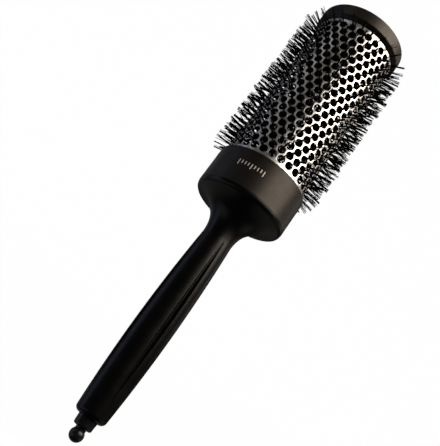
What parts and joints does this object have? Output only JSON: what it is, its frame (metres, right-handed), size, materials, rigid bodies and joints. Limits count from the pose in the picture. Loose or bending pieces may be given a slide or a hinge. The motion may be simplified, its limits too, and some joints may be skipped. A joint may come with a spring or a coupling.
{
  "type": "round barrel brush",
  "caption": "Round thermal hair brush: perforated metal barrel with nylon tufts, charcoal collar and end band, bellied black handle and a pull-out sectioning pick with a ball knob.",
  "frame": {"origin": "centre of the end cap's flat outer face, which the brush stands on", "axes": "+Z runs along the axis from the end cap to the ball on the tail; the brush has no front, and the printed ticks on its collar are near -Y"},
  "size_m": [0.0608, 0.0608, 0.2513],
  "materials": {
    "handle_black": "satin moulded black",
    "cap_black": "satin moulded black",
    "charcoal": "fine metallic charcoal paint, satin",
    "barrel_metal": "bright drawn tube",
    "bristle_nylon": "black nylon filament",
    "knob_black": "glossy moulded black",
    "insulator": "heat-resistant moulded plastic",
    "steel": "drawn bright wire",
    "brass": "turned",
    "ring_rubber": "matt black"
  },
  "bodies": {
    "brush": {"handle": "handle_black", "spigot": "insulator", "collar_band": "charcoal", "collar_sleeve": "insulator", "barrel_tube": "barrel_metal", "barrel_pins": "steel", "core_wire_a": "steel", "core_wire_b": "steel", "handle_ferrule": "brass", "cap_ferrule": "brass", "core_disc": "insulator", "bristle_row_01": "bristle_nylon", "bristle_row_02": "bristle_nylon", "bristle_row_03": "bristle_nylon", "bristle_row_04": "bristle_nylon", "bristle_row_05": "bristle_nylon", "bristle_row_06": "bristle_nylon", "bristle_row_07": "bristle_nylon", "bristle_row_08": "bristle_nylon", "bristle_row_09": "bristle_nylon", "bristle_row_10": "bristle_nylon", "bristle_row_11": "bristle_nylon", "bristle_row_12": "bristle_nylon", "bristle_row_13": "bristle_nylon", "bristle_row_14": "bristle_nylon", "bristle_row_15": "bristle_nylon", "bristle_row_16": "bristle_nylon", "bristle_row_17": "bristle_nylon", "bristle_row_18": "bristle_nylon", "bristle_row_19": "bristle_nylon", "bristle_row_20": "bristle_nylon", "bristle_row_21": "bristle_nylon", "end_cap": "cap_black", "cap_band": "charcoal", "pick_liner": "insulator"},
    "pick": {"pick_knob": "knob_black", "pick_pin": "steel", "pick_ring": "ring_rubber"}
  },
  "joints": [
    {"name": "pick_slide", "type": "slide", "parent": "brush", "child": "pick", "axis": [0, 0, 1], "range_m": [0, 0.07]}
  ]
}
